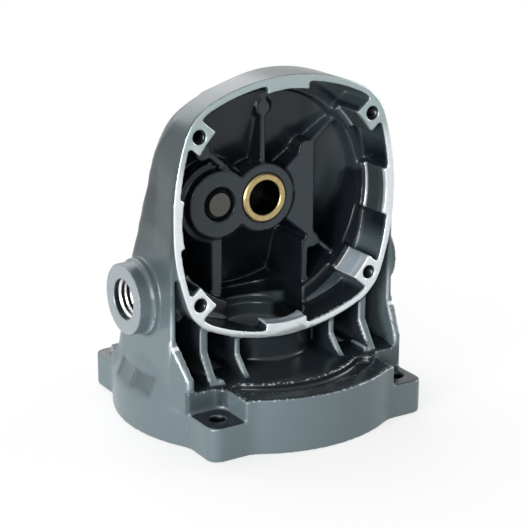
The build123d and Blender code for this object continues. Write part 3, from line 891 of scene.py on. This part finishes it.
def turned_metal(name, axis_x, light_colour, deep_colour, roughness, pitch, bore_radius=0.0):
    """Metal with fine rings around an axis along Y. Inside a bore it gets painted shade, near black.
    """
    made, tree, where = new_material(name)
    x, _, z = axes_of(tree, where)
    radius = far_from(tree, math_node(tree, "SUBTRACT", x, axis_x),
                      math_node(tree, "SUBTRACT", z, SPINDLE_Z))
    rings = math_node(tree, "SINE", math_node(tree, "MULTIPLY", radius, 2 * pi / pitch))
    tone = noise(tree, where, 900.0, 3.0)
    colour = blend(tree, spread(tree, tone), deep_colour, light_colour)
    if bore_radius:
        # Painted shade inside the bore.
        in_its_bore = fade(tree, radius, bore_radius + 0.0003, bore_radius + 0.0001)
        colour = blend(tree, in_its_bore, colour, BORE_SHADE)
    shade_with(tree, {"Base Color": colour, "Metallic": 1.0,
                      "Roughness": spread(tree, tone, roughness - 0.05, roughness + 0.07),
                      "Normal": bump(tree, rings, RING_HEIGHT)})
    print(name, "made")
    return made


def dress(node, material):
    """Put one material on a carried-over node."""
    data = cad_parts[node].data
    data.materials.clear()
    data.materials.append(material)
    print(node, "gets", material.name)


dress("spindle_bush", turned_metal("bush_brass", 0.0, (0.49, 0.39, 0.20), (0.40, 0.31, 0.14),
                                   roughness=0.34, pitch=0.00025, bore_radius=0.006))
dress("lock_pin", turned_metal("pin_steel", BUTTON_X, (0.108, 0.104, 0.096), (0.083, 0.080, 0.074),
                               roughness=0.42, pitch=0.0003))

# %% [markdown]
# ## Spring, seal and button
# All three are hidden in the photograph, and only the button shows from behind. The spring is drawn
# steel wire, the seal black rubber and the button black moulded plastic with a fine grain. A recipe
# for each would look no different at this size, so one serves all: two close tones, a roughness that
# wanders, and a small bump.

# %% Plain finishes
def plain_material(name, first, second, roughness, metallic, scale, depth):
    """A material with a slow change of colour and a fine bump."""
    made, tree, where = new_material(name)
    tone = noise(tree, where, scale, 3.0)
    shade_with(tree, {"Base Color": blend(tree, spread(tree, tone), first, second),
                      "Metallic": metallic,
                      "Roughness": fade(tree, tone, 0.2, 0.8, roughness - 0.06, roughness + 0.06),
                      "Normal": bump(tree, noise(tree, where, scale * 4, 2.0), depth)})
    print(name, "made")
    return made


dress("lock_spring", plain_material("spring_wire", (0.30, 0.30, 0.31), (0.45, 0.45, 0.46),
                                    0.3, 1.0, 1500.0, 0.000004))
dress("lock_seal", plain_material("seal_rubber", (0.012, 0.012, 0.012), (0.02, 0.02, 0.02),
                                  0.55, 0.0, 1500.0, 0.000008))
dress("lock_button", plain_material("button_plastic", (0.016, 0.016, 0.018), (0.026, 0.026, 0.028),
                                    0.48, 0.0, 800.0, 0.00002))

# %% [markdown]
# ## Threads
# The solids have plain bores at the thread's size. A thread is a ridge that climbs round the bore,
# so one helper sweeps a small trapezium along a helix, and lets it run out at both ends as a tap
# does. A Screw modifier could do it too, but without the run-out. Cut threads in aluminium shine,
# unlike the paint around them. Those of the cover screws get painted shade, near black.

# %% Sweep a thread ridge
FOOT_HALF, CREST_HALF = 0.30, 0.07
RUN_OUT = 0.35
THINNEST = 0.05


def thread(name, centre, direction, material, root_r, crest_r, pitch, length, steps):
    """An inner thread ridge from centre, running length metres against direction."""
    out = Vector(direction)
    side = out.orthogonal().normalized()
    up = out.cross(side)
    profile = ((root_r, -FOOT_HALF), (crest_r, -CREST_HALF), (crest_r, CREST_HALF),
               (root_r, FOOT_HALF))
    total = int(length / pitch * steps)
    corners, faces = [], []
    for k in range(total + 1):
        angle = 2 * pi * k / steps
        along = -k * pitch / steps
        ease = min(1.0, k / (steps * RUN_OUT), (total - k) / (steps * RUN_OUT))
        for r, half in profile:
            reach = root_r + (r - root_r) * ease
            lift = along + half * pitch * max(ease, THINNEST)
            corners.append(Vector(centre) + side * (reach * cos(angle)) + up * (reach * sin(angle))
                           + out * lift)
    for k in range(total):
        for j in range(3):
            a = 4 * k + j
            faces.append((a, a + 4, a + 5, a + 1))
    mesh = bpy.data.meshes.new(name)
    mesh.from_pydata(corners, [], faces)
    mesh.materials.append(material)
    mesh.polygons.foreach_set("use_smooth", [True] * len(mesh.polygons))
    ridge = bpy.data.objects.new(name, mesh)
    scene.collection.objects.link(ridge)
    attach(ridge, "case")
    print(name, len(mesh.polygons), "faces")


cut_metal = plain_material("cut_aluminium", (0.72, 0.73, 0.74), (0.86, 0.87, 0.88),
                           0.26, 0.9, 1200.0, 0.000006)
# Painted shade on the threads of the cover screws.
shaded_thread_metal = plain_material("aluminium_in_shade", (0.05, 0.055, 0.06), (0.16, 0.17, 0.18),
                             0.3, 0.9, 1200.0, 0.000006)

# %% Threads of the side handles and the cover screws
HANDLE_LEAD_IN = 0.0014
COVER_LEAD_IN = 0.0011
HANDLE_THREAD = {"root_r": 0.00702, "crest_r": 0.00605, "pitch": 0.002, "length": 0.0135,
                 "steps": 48}
COVER_THREAD = {"root_r": 0.00228, "crest_r": 0.00203, "pitch": 0.0008, "length": 0.0095,
                "steps": 20}
for label, way in (("left", -1), ("right", 1)):
    thread(f"handle_thread_{label}", (way * (BOSS_END_X - HANDLE_LEAD_IN), 0, HANDLE_Z),
           (way, 0, 0), cut_metal, **HANDLE_THREAD)
for label, way, rise in (("upper_left", -1, 1), ("upper_right", 1, 1),
                         ("lower_left", -1, -1), ("lower_right", 1, -1)):
    place = (way * COVER_SCREW_X, RIM_Y + COVER_LEAD_IN, SPINDLE_Z + rise * COVER_SCREW_Z)
    thread(f"cover_thread_{label}", place, (0, -1, 0), shaded_thread_metal, **COVER_THREAD)
